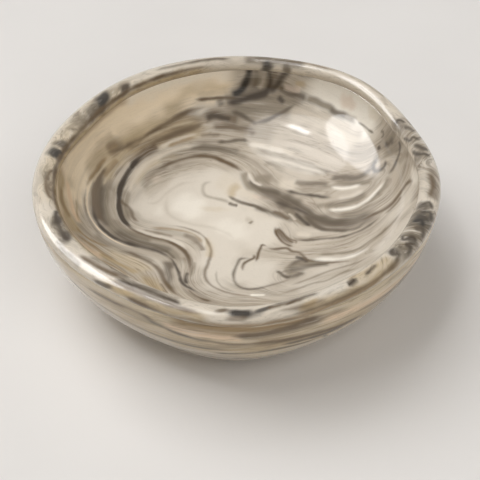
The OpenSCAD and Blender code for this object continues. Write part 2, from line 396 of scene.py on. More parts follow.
# The cream pool in the middle, with the grey that trails round it
for clay, share, x, y, rx, ry, tilt, contrast in [
    ("cream", 1, -15, 12, 12, 9.5, 20, 0), ("cream", 1, -6, 16, 11, 9, -15, 0),
    ("cream", 1, -8, 5, 15, 7, -5, 0), ("cream", 1, 4, 3.4, 8.4, 7.6, -30, 0),
    ("cream", 1, -5, -8, 5.5, 13, 0, 0), ("cream", 0.95, 4, -13, 6.6, 6.6, 0, 0),
    ("cream", 0.8, -6, 22, 8, 3.6, 10, 0), ("ivory", 0.55, -13.6, 11.6, 4.4, 4, 0, 0),
    ("ivory", 0.5, -23.4, 9, 3, 2, -20, 0), ("ivory", 0.35, -2, 4, 5, 3, -30, 0),
    ("sand", 0.2, -3, 20.6, 3, 3.4, 0, 0), ("sand", 0.35, -6.6, 11.4, 3.4, 0.9, 0, 0),
    ("shell", 0.8, 2.6, 17.4, 2.4, 1.7, -20, 0), ("blush", 0.6, 6.4, 15.8, 2.6, 0.9, -20, 0),
    ("smoke", 0.8, 7.2, 22.6, 2.6, 1.6, -10, 0.1), ("ash", 0.6, 3, 7.4, 0.9, 1.5, 30, 0),
    ("smoke", 0.9, 3.4, 6.6, 0.6, 0.45, 30, 0), ("blush", 0.5, -22.6, 19.6, 1.8, 1.4, 40, 0),
    ("shell", 0.9, 14, 20, 2.6, 1.8, -25, 0.1), ("ash", 0.6, 8, -6, 2.6, 1.6, -20, 0),
    ("bark", 0.6, -36.6, 25, 2, 3, -35, 0.2), ("smoke", 0.8, -30.6, 4.6, 1.3, 3.6, 10, 0.1), ("cream", 0.9, -25.4, 9, 4, 3.8, 0, 0),
    ("slate", 0.75, 14.6, 12.4, 5.6, 2.6, -48, 0.1), ("cream", 0.9, 22, -20, 12, 5, 8, 0.2),
    ("cream", 0.9, 42, -13, 10, 5, 25, 0.2), ("slate", 0.6, 8, 52, 6, 3, 0, 0.3),
    ("blush", 0.7, 35, 41, 3, 2, -40, 0), ("sand", 0.35, 43, 33.4, 1.8, 2.4, 30, 0),
    ("cream", 0.9, 46, -1, 8, 3.4, 20, 0.1), ("ivory", 0.8, 52.6, 3, 2, 3.4, 20, 0),
    ("smoke", 0.75, 46.6, 20.6, 3.4, 4, 0, 0.3), ("tan", 0.6, 20.6, 50.4, 1.8, 1, -20, 0),
    ("cream", 0.8, -12.6, 42.9, 3.4, 0.9, 15, 0.1), ("sand", 0.8, -10, 48.6, 4, 0.9, 8, 0),
]:
    hollow.patch(clay, share, x, y, rx, ry, tilt, contrast)
for clay, width, blur, share, points, *contrast in [
    # round the pool's left and top
    ("ash", 2.8, 1.1, 0.85, [(1, 24.4), (-3.6, 26.8), (-8.4, 28.3), (-13, 27.3), (-17, 25), (-19.4, 22.4), (-21.6, 18.6), (-24.6, 15.4), (-27, 13.6)]),
    ("smoke", 1.8, 0.9, 0.6, [(-16, 26.6), (-20, 24.8), (-23.4, 22), (-25.6, 18.4), (-26.6, 15)]),
    ("smoke", 2.4, 1.1, 0.7, [(-24, 25.6), (-20, 28.4), (-15, 31.2), (-9, 32.4), (-2, 31.4), (4, 30)]),
    ("slate", 2, 1, 0.6, [(-15, 31.6), (-10, 32.8), (-4, 32.4), (1, 31.6)]),
    ("smoke", 2.4, 1, 0.45, [(-23.6, 0.6), (-19, 1.4), (-14.6, 1), (-12, -0.4), (-10.4, -2.6)]),
    ("bark", 1.5, 0.7, 0.65, [(-15, 1.2), (-12.4, 0.4), (-10.8, -1.2), (-9.7, -3.2), (-9.2, -5)]),
    ("sand", 1.6, 0.8, 0.8, [(-9.2, 0.6), (-7.8, -1.6), (-7.3, -4.6), (-7.6, -7.6)]),
    ("tan", 2.2, 0.9, 0.6, [(1, 21), (-1, 19.4), (-1.8, 17.4), (-0.8, 15.6)]),
    ("smoke", 2, 0.8, 0.8, [(1.6, 25.4), (1.8, 22.8), (2.6, 20.4), (4.6, 19), (8, 17.4)]),
    ("slate", 4.2, 1.6, 0.8, [(4, 20), (8, 17.8), (11, 15.2), (14, 12.2), (17, 9), (20, 6.2), (24, 3.8), (29, 2.2), (34, 1.8), (39, 2)], 0.15),
    ("slate", 2.2, 0.9, 0.6, [(12, 15.6), (14.6, 13.4), (16.6, 11.2), (18.8, 9), (21.2, 6.6), (24, 4.4), (27.6, 2.8), (32, 1.9)]),
    ("slate", 1.7, 0.8, 0.8, [(4, 12.6), (8, 10.6), (12, 8.2), (15.4, 5.8)], 0.15),
    ("smoke", 2.8, 1, 0.75, [(12, 11.6), (14, 10), (15.6, 8), (17.4, 5.6), (19, 3.6)], 0.2),
    ("shell", 1.6, 0.6, 0.85, [(15, 1.2), (17.4, 0.8), (19.6, -0.2)]),
    ("ash", 3, 1, 0.8, [(14.6, -3.8), (17.4, -3.6), (20.4, -3.8)]),
    ("bark", 1.6, 0.7, 0.9, [(10.2, 4.4), (11.4, 1.4), (12.8, -0.8), (14.6, -2.8)]),
    ("slate", 2, 0.8, 0.9, [(12, -14.4), (13.4, -12), (15, -10), (18, -8.6)], 0.15),
    ("smoke", 3.4, 1, 0.9, [(11, -14), (14.6, -12.4), (18.6, -11), (23, -11.6)], 0.2),
    ("slate", 1.6, 0.7, 0.85, [(12.6, -12.8), (15, -12.9), (18, -12.4), (21, -12.4), (24, -13)]),
    ("slate", 1.6, 0.6, 0.8, [(12.4, -15), (13.6, -15.9), (15.4, -15), (17.4, -14)]),
    ("ash", 3, 1.2, 0.7, [(8, -19.4), (13, -18), (18, -17.4), (24, -17.4), (31, -17.6), (38, -15)]),
    ("ash", 2.6, 1, 0.7, [(-2, -22.6), (4, -23.4), (10, -22.6), (16, -21)]),
    ("ash", 3, 1.2, 0.7, [(21, -6), (27, -6.8), (33, -6.2), (40, -3.6)]),
    # the front, below the rim
    ("slate", 1.8, 0.9, 0.7, [(-17, -30), (-4, -32.6), (10, -31.8), (23, -28), (34, -22)]),
    ("smoke", 3, 1.2, 0.6, [(-22, -34), (-8, -37.6), (7, -37.6), (22, -33.6), (36, -26)]),
    ("cream", 3, 1.2, 0.8, [(-27, -34.6), (-12, -41), (5, -42), (22, -38), (36, -30)]),
    ("bark", 1.6, 0.7, 0.7, [(-30, -36), (-16, -44), (1, -46.6), (18, -43.6), (32, -36)]),
    ("tan", 3.6, 1.4, 0.7, [(-36, -33), (-23, -45), (-4, -51), (14, -49.6), (28, -43)]),
    ("cream", 2.4, 1, 0.8, [(-42, -22), (-38, -28), (-31, -34), (-22, -39.6)]),
    ("slate", 1.4, 0.7, 0.7, [(-20, -49), (-8, -53), (8, -53.6), (24, -49)]),
    ("umber", 1.2, 0.7, 0.8, [(2, -36), (10, -37.6), (17, -34.6), (21, -36)]),
    # strands of the right side
    ("smoke", 1.6, 0.7, 0.85, [(4, 32.6), (8, 31.4), (12, 30), (15.4, 28.2), (18.4, 26), (21.4, 24.4), (24.4, 22.4), (27, 20.4)]),
    ("shell", 1.5, 0.6, 0.85, [(3, 34.4), (8, 33.2), (12.4, 31.8), (16.6, 29.6)]),
    ("smoke", 1.4, 0.7, 0.7, [(6.6, 27), (9.6, 27.6), (13, 26.6), (17, 25.2), (20.6, 23.4), (24, 21.2)]),
    ("slate", 1.6, 0.7, 0.7, [(15.6, 20.8), (18.6, 19.6), (22, 18.8), (25.6, 17.4)]),
    ("slate", 1.8, 0.7, 0.85, [(25.6, 20.4), (28, 19.2), (31, 18), (34.4, 16.8), (37.2, 17.8), (39.4, 19.8), (41, 21.6)]),
    ("smoke", 1.6, 0.7, 0.8, [(26, 18.2), (30, 16.8), (33.6, 15.2), (36.4, 14.2), (39, 15.6), (42.4, 16.2)]),
    ("smoke", 1.8, 0.7, 0.8, [(20.6, 10.8), (24.4, 10.2), (28, 9.5), (32, 9.4), (36, 10.6)]),
    ("smoke", 1.6, 0.7, 0.8, [(26.4, 6), (30.4, 5.2), (34.4, 5.8), (38, 8), (41, 10), (43, 12.8)]),
    ("ash", 2.6, 1, 0.8, [(36.6, 12.6), (40, 14.2), (44, 15.4), (48, 17)]),
    ("smoke", 1.8, 0.8, 0.7, [(46.6, 13.8), (50, 13.4), (53.6, 11.8)]),
    ("ash", 1.4, 0.7, 0.6, [(39.6, 6), (43.4, 7.4), (47, 9.4), (51, 9.4), (54, 7.6)]),
    # the back
    ("smoke", 7, 1.4, 0.9, [(5.6, 49.4), (7.4, 52.6), (8.6, 58)], 0.25),
    ("slate", 2.8, 1.2, 0.7, [(-5, 47), (2, 48.4), (9, 49)], 0.2),
    ("pitch", 2.6, 0.9, 1, [(-3, 48.7), (0.4, 50.2), (2.3, 52.2), (3.4, 54.6), (4, 59)], 0.15),
    ("slate", 1.4, 0.7, 0.6, [(5, 50.6), (5.8, 53.6), (6.6, 58)]),
    ("ash", 1.2, 0.6, 0.7, [(6.4, 50.4), (8, 52.2), (8.4, 55)]),
    ("umber", 1.7, 0.8, 0.95, [(9.6, 59), (10.7, 55), (10.3, 51.6), (8.4, 49.6), (4, 48.3), (0, 47.3), (-4, 46.3)], 0.15),
    ("umber", 2.4, 1, 0.9, [(9.4, 49.5), (12, 51), (14.4, 53), (18, 55.6)], 0.15),
    ("bark", 2, 1, 0.8, [(12.4, 52.6), (12.8, 58)]),
    ("slate", 1.8, 0.7, 0.85, [(12.6, 50.4), (15.4, 49), (18.4, 47.6), (22, 46)]),
    ("blush", 1.6, 0.6, 0.85, [(14.4, 50.6), (17.6, 49.4), (20.4, 48.4)]),
    ("smoke", 2, 0.7, 0.9, [(20.4, 46.8), (24.2, 44.6), (27.6, 42.2), (30.4, 39.4), (33.4, 37), (36.4, 34.2)]),
    ("slate", 1.6, 0.7, 0.7, [(28, 41.4), (30.6, 39), (33, 37.2)]),
    ("bark", 3, 1.2, 0.75, [(-11, 41), (-7, 42.6), (-3, 42), (0.6, 41.4)]),
    ("umber", 1.6, 0.7, 0.9, [(-10, 41.6), (-7.4, 42.4), (-4.6, 42.2), (-2, 41.6)]),
    ("bark", 1.8, 0.8, 0.75, [(-8.6, 39.6), (-4, 39.4), (0.6, 39.2), (3.4, 38.6), (5.2, 37)]),
    ("umber", 1.9, 0.7, 0.8, [(-6.3, 48), (-5.6, 46.6), (-5, 45)]),
    ("umber", 1.5, 0.5, 0.9, [(12.2, 48), (13.3, 46.8), (14.4, 45.4)]),
    ("bark", 2.4, 1.2, 0.6, [(-12, 39.4), (-17, 36.8), (-21.6, 33.4), (-25.4, 29.6), (-28, 26)]),
    ("bark", 1.6, 0.9, 0.6, [(-11, 44), (-16.6, 41.4), (-21, 37.6), (-25, 33.4), (-29, 29), (-33, 25.4)]),
    ("bark", 2.4, 0.9, 0.85, [(-23.4, 30.8), (-25.4, 29), (-27.4, 26.8), (-29.2, 24.2), (-30.8, 21.4)]),
    ("umber", 1.1, 0.5, 0.9, [(-30.6, 21), (-31.8, 17.6), (-32.7, 13.4), (-32.8, 10)]),
    ("ochre", 1.8, 0.8, 0.6, [(-34.6, 22), (-36.2, 18.4), (-37.4, 14)]),
    ("ochre", 2.6, 1.2, 0.5, [(-35, 26.6), (-37, 24.4), (-38.4, 21.6)]),
]:
    hollow.band(clay, width, blur, share, points, *contrast)

# Threads of clay that show singly, from the pool outwards, and one short ivory streak that is a painted highlight
for clay, width, blur, share, points in [
    # the pool's own faint curls
    ("smoke", 0.7, 0.5, 0.55, [(-7.4, 21.4), (-9.4, 20.4), (-10, 18.6), (-9.5, 16.8), (-8, 15.7), (-5.5, 15.2), (-3.4, 14.6), (-1.2, 13.2)]),
    ("slate", 0.9, 0.4, 0.8, [(-2.8, 14), (-1.4, 13.3), (0, 13)]),
    ("slate", 0.9, 0.35, 0.85, [(-3, 16.6), (-1.2, 15.3), (0.6, 14.3), (3, 13.3), (5.2, 12.4), (7, 11.2), (8.6, 10.4)]),
    ("ash", 0.5, 0.5, 0.5, [(-25.4, 10.5), (-23, 11), (-21.6, 12.4), (-20.4, 14.6), (-18.4, 17.2), (-15.6, 19.6), (-11, 21)]),
    ("ash", 0.6, 0.6, 0.4, [(-19.4, 15), (-19.8, 11), (-18.8, 8), (-16, 6.2), (-12, 5.2), (-7, 4.4), (-3, 2.4), (-1, 0)]),
    # the pool's top edge and the rings outside it
    ("bark", 1.0, 0.4, 0.9, [(1.6, 25.2), (-0.8, 26.8), (-3.4, 28.2), (-6, 29.3), (-8.6, 29.8), (-11.4, 29.6), (-14, 28.8), (-17, 27.2), (-20, 25.4), (-23, 22.8)]),
    ("shell", 1.0, 0.5, 0.85, [(-29.8, 12), (-29.8, 15.4), (-28.6, 19.6), (-26.6, 23.4), (-23.6, 26.6), (-19.6, 29.6), (-15, 32), (-10, 34)]),
    ("ash", 0.8, 0.4, 0.6, [(-21, 23.4), (-17.6, 26), (-14, 27.8), (-9, 28.7)]),
    # the strong vein round the pool's left, and down into the bend
    ("umber", 1.1, 0.35, 1.0, [(-26.4, 27.4), (-29.2, 23.6), (-31.2, 19.4), (-32.5, 15), (-32.9, 12), (-32.8, 8.6), (-32.2, 5.6), (-31.2, 3), (-29.6, 1.2), (-27, 0)]),
    ("pitch", 0.9, 0.4, 0.95, [(-31, 19.4), (-32.5, 14.6), (-32.9, 11), (-32.5, 7), (-31.4, 3.4)]),
    ("bark", 0.9, 0.35, 0.9, [(-30, 1.2), (-28.4, -0.1), (-26, -1), (-23, -1.5), (-20, -1.8), (-17.6, -2.6), (-15.4, -4), (-13.8, -5.8), (-12.8, -8), (-12.3, -10.6), (-12.1, -14)]),
    ("cream", 0.8, 0.3, 0.9, [(-28.6, 0.9), (-26, 0), (-23, -0.7), (-19.6, -1), (-17, -1.6), (-15, -2.8), (-13.4, -4.4)]),
    ("bark", 0.8, 0.4, 0.7, [(-31.9, 9.8), (-31.6, 8.4), (-30, 7.6), (-28.9, 6), (-28.2, 4.2), (-26.4, 2.9)]),
    # lines of the bend
    ("bark", 0.6, 0.4, 0.6, [(-25.6, 0.7), (-22.4, 0.5), (-19.4, 0.2), (-17, -0.2)]),
    ("ochre", 0.6, 0.4, 0.6, [(-24, 1.9), (-19.4, 2.6), (-15.4, 2.5), (-12.2, 1.6), (-10.4, 0.1), (-9.5, -1.8)]),
    ("bark", 0.6, 0.35, 0.65, [(-20, 3.8), (-15.4, 3.8), (-11.6, 2.7), (-9.6, 1.2), (-8.2, -0.8), (-7.2, -3.6), (-7.1, -6.4), (-7.8, -9.6), (-8.4, -12.6), (-8.4, -15), (-7.4, -17.6), (-5.8, -19.4), (-3.6, -20.8), (-0.6, -21.9), (3, -22.8)]),
    ("cream", 0.5, 0.3, 0.8, [(-10.6, 1.8), (-9.6, 0.6), (-9, -1), (-8.9, -3.4)]),
    ("umber", 1.1, 0.4, 0.95, [(-39.8, 3.4), (-38.6, -0.2), (-36.8, -2.7), (-34.4, -4.6), (-31.6, -5.7), (-28, -6.1), (-24.4, -6.1), (-21.4, -6.5), (-19, -7.6), (-17.2, -9)]),
    ("umber", 0.7, 0.3, 0.85, [(-18, -8.4), (-16.8, -9.6), (-15.9, -11.6), (-15.2, -13.8), (-14.8, -16), (-14.2, -18), (-13, -19.8), (-11.4, -20.9), (-9.4, -22.4)]),
    # A pale thread whose butter colour also holds painted light for the dim left wall
    ("butter_lit", 0.45, 0.3, 0.8, [(-40.4, 14.6), (-41.4, 10.6), (-41.8, 7), (-41.6, 3.4), (-40.6, 0), (-38.8, -2.6), (-36.4, -4.8), (-33.6, -6.3), (-30.4, -7.1), (-27, -7.2)]),
    ("slate", 0.6, 0.3, 0.8, [(-21, -6.2), (-18.8, -6.4), (-17.4, -7.4), (-16.2, -9)]),
    ("bark", 0.7, 0.5, 0.6, [(-42.6, 6), (-42, 2), (-40.6, -1.8), (-38.2, -4.8), (-35.6, -6.9)]),
    ("umber", 0.8, 0.4, 0.9, [(-12.8, -13.6), (-13.2, -15.4), (-13.3, -17), (-12.8, -19)]),
    ("bark", 0.7, 0.3, 0.75, [(-12.6, -20.6), (-11.4, -22.6), (-10, -24), (-8.4, -25), (-6.4, -25.6)]),
    ("ash", 0.5, 0.3, 0.7, [(-16.9, -8.6), (-15.9, -10), (-15, -12.2), (-14.3, -14.4)]),
    ("smoke", 0.6, 0.4, 0.6, [(-11.2, -9), (-11.3, -11), (-11.8, -13), (-12, -16)]),
    ("bark", 1.0, 0.45, 0.75, [(-31, -10), (-28, -9.8), (-25.4, -10.6), (-22.4, -12), (-20.4, -14), (-19.3, -16.4), (-18.4, -19), (-17.2, -21.4), (-15.4, -24), (-13, -25.8)]),
    ("bark", 0.5, 0.3, 0.5, [(-19.6, -20), (-18.6, -22), (-17.4, -24.4)]),
    ("ochre", 0.6, 0.4, 0.75, [(-43.4, -8.6), (-41.6, -9.8), (-39, -10.4), (-36, -10.2), (-33, -10)]),
    ("ochre", 0.9, 0.5, 0.7, [(-43, -11.8), (-40, -12.2), (-37, -12.6), (-34, -14), (-31, -15)]),
    ("ochre", 0.6, 0.4, 0.7, [(-36, -17.2), (-32, -17.8), (-29.6, -18.8), (-27.6, -20.4)]),
    ("ochre", 0.5, 0.4, 0.6, [(-45, 2), (-44.2, -0.6), (-43.6, -3.6), (-42.4, -5.8)]),
    ("smoke", 0.4, 0.3, 0.55, [(-5.6, -12), (-5.5, -15.4), (-4.6, -18), (-3, -19.8), (-0.6, -21)]),
    # Painted highlight: this short ivory streak stands in for a glint on the glaze
    ("ivory", 0.6, 0.25, 0.9, [(2.8, -22.2), (4.8, -22.4), (6.9, -22.6)]),
    # the oval curl
    ("bark", 0.6, 0.35, 0.9, [(7.6, -3), (6.4, -2.2), (5.9, -3.4), (5.3, -5.2), (5, -7), (4.5, -8.8)]),
    ("bark", 0.6, 0.35, 0.85, [(4, -5.6), (4.1, -7), (3, -7.9), (1.8, -9), (1.2, -10.4), (1.2, -12.4)]),
    ("slate", 0.6, 0.4, 0.8, [(3.4, -7.4), (1.6, -7.3), (0.4, -7.8), (-0.3, -9.8), (-1, -12.2), (-1.2, -14.6), (-0.8, -16.8), (0.4, -18.7), (2.6, -19.8), (5.2, -19.5), (8, -18.6), (11, -17.6), (13.6, -16.4)]),
    ("bark", 0.7, 0.35, 0.8, [(7.2, -3.3), (9, -4), (11, -4), (12.8, -4), (14, -5.4), (15.8, -6.2), (17, -8), (18, -9.8), (20, -10.7), (23, -12), (26, -13.1), (29, -13.8)]),
    ("umber", 0.9, 0.4, 0.8, [(14.6, -7.4), (16, -8.4), (17.2, -9.4), (18, -10.8)]),
    ("slate", 0.8, 0.35, 0.85, [(9.7, -12.6), (10.8, -14), (11.7, -15.2), (13.2, -16.3)]),
    # the dark hook, and the lines that run on from it to the right
    ("bark", 0.6, 0.35, 0.95, [(9.8, 4.8), (10.1, 2), (10.9, 0), (12, -1.8), (13.2, -2.9), (14.6, -3.7)]),
    ("bark", 0.5, 0.35, 0.9, [(10.3, 4), (11.6, 2.4), (12.6, 0.6), (13.8, -0.8), (15.2, -1.4), (15.1, -2.9)]),
    ("slate", 0.7, 0.35, 0.85, [(14.4, -1), (17, -1.6), (20, -2), (23, -2.2), (26, -2.8), (29, -2.9), (32.6, -2.4), (35.6, -1.4), (38.6, 0.2)]),
    ("slate", 1.0, 0.4, 0.85, [(17.6, 8.8), (18.6, 6.8), (20, 4.4), (21.6, 2.4), (23.6, 1), (26.4, 0), (29.4, -0.9), (32, -0.9), (34.4, 0.4)]),
    ("umber", 0.8, 0.35, 0.85, [(15.4, 9.4), (16.4, 7.4), (17.8, 5.4), (19.6, 3.2)]),
    ("shell", 0.5, 0.35, 0.7, [(13.6, 9.4), (14.6, 8), (15.5, 6.2)]),
    ("bark", 0.9, 0.4, 0.8, [(33, 1.2), (36, 1.8), (39, 1.7), (41.6, 2.1), (44, 3.2), (46, 4.3), (48, 4.9), (49.6, 4.2), (51, 2.6)]),
    ("bark", 0.6, 0.4, 0.65, [(39.6, 0), (42, 0.7), (44, 1.6), (45.4, 2.8)]),
    ("smoke", 0.8, 0.45, 0.8, [(20, -8), (22.6, -8.5), (25.4, -9.2), (28.4, -9.8), (32, -9.6), (36, -8), (41, -5.4), (46, -2.4)]),
    ("ivory", 1.0, 0.6, 0.8, [(18.8, -9.4), (22, -10.5), (26, -11.7), (30, -11.9), (34.6, -11)]),
    ("smoke", 0.7, 0.4, 0.75, [(13, -19.4), (17, -18), (21, -16.5), (24.4, -15.7), (28.4, -15.6), (33, -15.4)]),
    ("smoke", 0.7, 0.4, 0.65, [(10, -23), (15, -21.2), (18.4, -20), (22.4, -19.8), (26.4, -18.2), (31, -18.2)]),
    # the junction above the pool, and the wedge of dark strands to the right
    ("slate", 1.2, 0.6, 0.85, [(3.2, 22.6), (3.8, 20.8), (5.2, 19.5), (8, 18), (10.4, 17.3), (12, 16)]),
    ("cream", 0.55, 0.3, 0.9, [(2.8, 25), (3.4, 23.2), (4.2, 21.6), (5.4, 20.7), (6.8, 20.1)]),
    ("umber", 0.8, 0.5, 0.9, [(12.8, 17.9), (15, 17), (17.4, 15.9), (19.6, 15.1), (21.4, 14.4), (23.4, 13.4), (26, 12.5)]),
    ("umber", 0.7, 0.5, 0.7, [(9.8, 14), (11.4, 13.4), (13, 12.4), (15, 11), (17, 9.9), (18.6, 8.6), (19.8, 7.2)]),
    ("slate", 1.3, 0.6, 0.85, [(18.4, 8.6), (20, 7), (22, 5.5), (24, 4.2), (26.4, 2.9), (29.6, 2.2)]),
    ("bark", 1.0, 0.45, 0.8, [(9, 10.4), (11, 9.6), (12.6, 8.2), (14, 6.8)]),
    ("ivory", 0.7, 0.5, 0.8, [(24.2, 8.7), (26.4, 7.9), (29.4, 7.2), (32.4, 7.1), (35.4, 8), (38.4, 9.8), (41.6, 11.8)]),
    ("ivory", 0.7, 0.5, 0.75, [(25.8, 16.6), (28, 15.3), (31, 14.4), (34.4, 14)]),
    ("cream", 0.6, 0.4, 0.6, [(8, 29.2), (12.6, 28.2), (16, 26.7), (19, 25), (22, 23.4), (25, 21.4)]),
    ("cream", 0.9, 0.5, 0.7, [(27, 12), (31, 11.4), (35, 12)]),
    # brown strands that sweep down the left
    ("bark", 1.0, 0.45, 0.8, [(-10, 44.6), (-14.6, 43.2), (-18, 41), (-20.8, 38.6), (-23.4, 36.2), (-25.8, 33.8), (-28.6, 31), (-31.6, 28.4), (-35, 24.8), (-38.4, 22)]),
    ("bark", 0.7, 0.5, 0.6, [(-10.4, 41.2), (-14.6, 40), (-18, 37.8), (-21.4, 35.8), (-24.6, 34.4)]),
    ("sand", 0.6, 0.4, 0.7, [(-12, 40.7), (-16, 39.2), (-20, 37), (-24, 34.2), (-27, 31.6), (-29.4, 28.6)]),
    ("bark", 1.2, 0.5, 0.7, [(-9.4, 40.8), (-13, 38.4), (-17, 36.2), (-20, 34.4), (-23, 32.4), (-25.6, 30)]),
    ("shell", 0.8, 0.4, 0.85, [(-12, 36.8), (-16, 34.6), (-20, 32.2), (-23.6, 29.6)]),
    ("ochre", 0.7, 0.4, 0.7, [(-12.6, 35.8), (-17, 33.4), (-21, 30.8)]),
    ("ochre", 0.8, 0.4, 0.75, [(-38, 21), (-39.6, 18), (-40.8, 14.4), (-42, 11), (-42.6, 8)]),
    ("sand", 0.5, 0.3, 0.8, [(-36.4, 21.6), (-38.6, 17.4), (-40.2, 13.4), (-41, 10.4)]),
    ("sand", 0.5, 0.35, 0.7, [(-34.4, 20), (-36.6, 15.6), (-37.8, 11.6)]),
    # the back: crossing lines over the grey
    ("bark", 0.8, 0.35, 0.85, [(-13.8, 46.4), (-10.4, 47), (-7, 47.7), (-4, 48), (0, 48.1)]),
    ("umber", 1.0, 0.6, 0.8, [(-3.6, 46.4), (-1, 47), (2, 47.6), (5, 48.2), (8, 48.6), (10.4, 50)]),
    ("slate", 1.0, 0.45, 0.85, [(-2.4, 44.4), (1, 43.2), (3.6, 41.6), (5.8, 40.2)]),
    ("slate", 0.9, 0.4, 0.85, [(4, 40.5), (8, 41.2), (11, 42.2), (14.4, 43.6), (18, 45)]),
    ("slate", 0.8, 0.4, 0.8, [(-6.6, 34.6), (-3, 35), (0, 35.6), (3.4, 35.3)]),
    ("cream", 1.1, 0.4, 0.8, [(2.6, 34.2), (6, 33.6), (10, 32.3), (14, 30.8)]),
    ("bark", 0.7, 0.5, 0.6, [(-11.4, 35.9), (-8.6, 36.7), (-5, 37)]),
    ("slate", 0.5, 0.3, 0.8, [(36.2, 34.4), (38, 32.2), (39.6, 29.8), (41, 28)]),
    # loops near the right rim
    ("umber", 0.9, 0.4, 0.9, [(40.6, 19.8), (39.2, 19.2), (38.6, 17.8), (39.2, 16.4), (41, 15.9), (42.4, 16.6), (42.6, 18.2)]),
    ("umber", 1.0, 0.4, 0.85, [(41.2, 23.4), (41.6, 22.8), (41.4, 22.2)]),
    ("umber", 1.3, 0.6, 0.8, [(44, 23), (45.2, 21.6), (47, 21.6), (46.4, 20.2)]),
    ("umber", 1.0, 0.45, 0.85, [(42.4, 13), (44.6, 13.5), (46.4, 14.7), (48.6, 15.8), (50.2, 17.6), (49.8, 19)]),
    ("slate", 0.6, 0.4, 0.6, [(43.4, 27), (44.6, 26.4), (44.2, 25.2), (43, 25.4)]),
]:
    hollow.thread(clay, width, blur, share, points)

hollow_level = strand_levels([
    (0, [(3, -22.4), (-3, -21), (-7, -18), (-8.3, -14.7), (-7.6, -8), (-8.4, -4.4), (-9.8, -1.6), (-12, 0.4), (-17, 1.6), (-23, 1.2), (-29, 2.4), (-31, 8), (-29.6, 15), (-25, 22), (-18, 26.4), (-10, 29.6), (-3, 28.4), (2, 25), (5, 19), (10, 16), (15, 11), (20, 6), (26, 3), (33, 1), (40, 2.4), (47, 4.6)]),
    (-6, [(-20, 10), (-12, 14), (-5, 18), (2, 10), (6, 5), (0, -2), (-3, -8)]),
    (4, [(6, -26.4), (-3, -25.6), (-9, -22.6), (-12.4, -18), (-12.5, -14), (-13, -8), (-16, -4), (-22, -3), (-29, -1.4), (-33, 3), (-34.5, 10), (-33, 17), (-29, 25), (-22, 31), (-12, 33.6), (-2, 33.6), (8, 30.8), (16, 26.8), (24, 22), (32, 17.6), (38, 17)]),
    (9, [(8, -31), (-4, -30), (-11, -26.6), (-15, -22), (-16, -18), (-17.6, -10), (-22, -7.4), (-30, -7), (-37, -3.6), (-41, 2), (-41.6, 10), (-38.6, 19), (-32, 27.4), (-24, 34.4), (-14, 39.6), (-4, 42.4), (5, 41)]),
    (15, [(-24, -18), (-32, -13), (-42, -9.6), (-49, -4), (-51, 8), (-47, 22), (-38, 34), (-26, 43), (-14, 50), (0, 53)]),
    (9, [(5, 41), (14, 39), (24, 34), (33, 27), (39, 22)]), (15, [(14, 52), (24, 46), (34, 38), (42, 29)]),
    (4, [(27, 8), (33, 6.5), (39, 10), (44, 15), (50, 17)]),
    (2, [(13, 18), (18, 15.6), (22, 14), (26, 12.4), (31, 11.4), (36, 12.6), (42, 14.6)]),
    (-3, [(14, -2), (22, -3), (30, -3), (38, 0), (45, 3)]),
    (-7, [(18, -8), (26, -9.6), (34, -8.6), (42, -4), (50, 1)]),
    (-11, [(13, -19.6), (20, -16.6), (30, -14.4), (42, -10), (50, -5)]),
    (2, [(10, -26.6), (20, -25.6), (32, -22.6), (44, -17)]),
], flat)

# The outer wall: the sheet's layers lie along it, nearly level. Its flat places are the way round
# at mid height (mm) and the height.
WALL_MM = 2 * math.pi * 45 / 360
under = row < len(FOOT_ROWS)
outside = ~inside & ~under
place = np.stack([TURN[step] * WALL_MM,
                  np.array([section[i][1][j] if np.ndim(section[i][1]) else section[i][1]
                            for i, j in zip(row, step)])], 1)[outside]
wall = Slab(place, "sand", 0.6, around=360 * WALL_MM)


def at_wall(points):
    return [(angle * WALL_MM, z) for angle, z in points]


for clay, width, blur, share, points in [
    ("tan", 7, 3, 0.75, [(226, 24), (245, 22), (265, 18), (290, 17), (315, 20), (335, 22), (360, 20)]),
    ("ivory", 14, 5, 0.85, [(140, 15), (170, 16), (200, 17), (222, 17)]),
    ("ivory", 6, 2.4, 0.9, [(188, 22), (208, 20), (224, 17)]),
    ("bark", 1.8, 0.9, 0.85, [(250, 26), (262, 25), (274, 24.2), (288, 25), (300, 26.4)]),
    ("ash", 6, 2.5, 0.8, [(222, 18), (240, 15), (258, 13), (275, 12)]),
    ("smoke", 5, 2, 0.6, [(236, 10), (262, 8), (290, 8), (318, 11)]),
    ("tan", 2.6, 1.2, 0.8, [(228, 20), (248, 19), (266, 17), (284, 18)]),
    ("peach", 2.6, 1, 0.8, [(250, 24.6), (258, 24.2), (266, 24), (272, 23.4)]),
    # Partly the seam's own brown and partly painted shade: the brown line just under the front of the coil, where the
    # coil shades the wall
    ("ochre", 2.6, 0.8, 0.9, [(252, 27.4), (262, 26.8), (272, 26.4), (282, 26.6), (290, 27.4)]),
    ("ochre", 3, 1.2, 0.8, [(272, 21.6), (284, 20.4), (296, 18.2), (306, 17.6)]),
    ("peach", 3, 1.2, 0.8, [(290, 24.2), (304, 23.6), (318, 23), (330, 24.6)]),
    ("ash", 3.4, 1.4, 0.8, [(306, 20), (320, 20), (334, 22), (350, 23)]),
    ("sand", 3, 1.2, 0.8, [(268, 14), (284, 13.4), (300, 13.6), (316, 16)]),
    ("ochre", 2, 1, 0.7, [(300, 10.6), (316, 13), (332, 16), (350, 17.4)]),
    ("ochre", 3, 1.5, 0.7, [(10, 15), (50, 17), (96, 14), (140, 16)]),
    ("ash", 4, 2, 0.8, [(20, 21), (66, 22), (108, 19), (150, 22)]),
    ("peach", 3, 1.4, 0.8, [(36, 11), (80, 10), (124, 12), (170, 9)]),
    ("smoke", 2.4, 1.2, 0.8, [(0, 12), (34, 14), (70, 13), (100, 16)]),
    ("bark", 2.6, 1, 0.6, [(60, 24), (84, 25), (110, 23)]),
]:
    wall.band(clay, width, blur, share, at_wall(points))
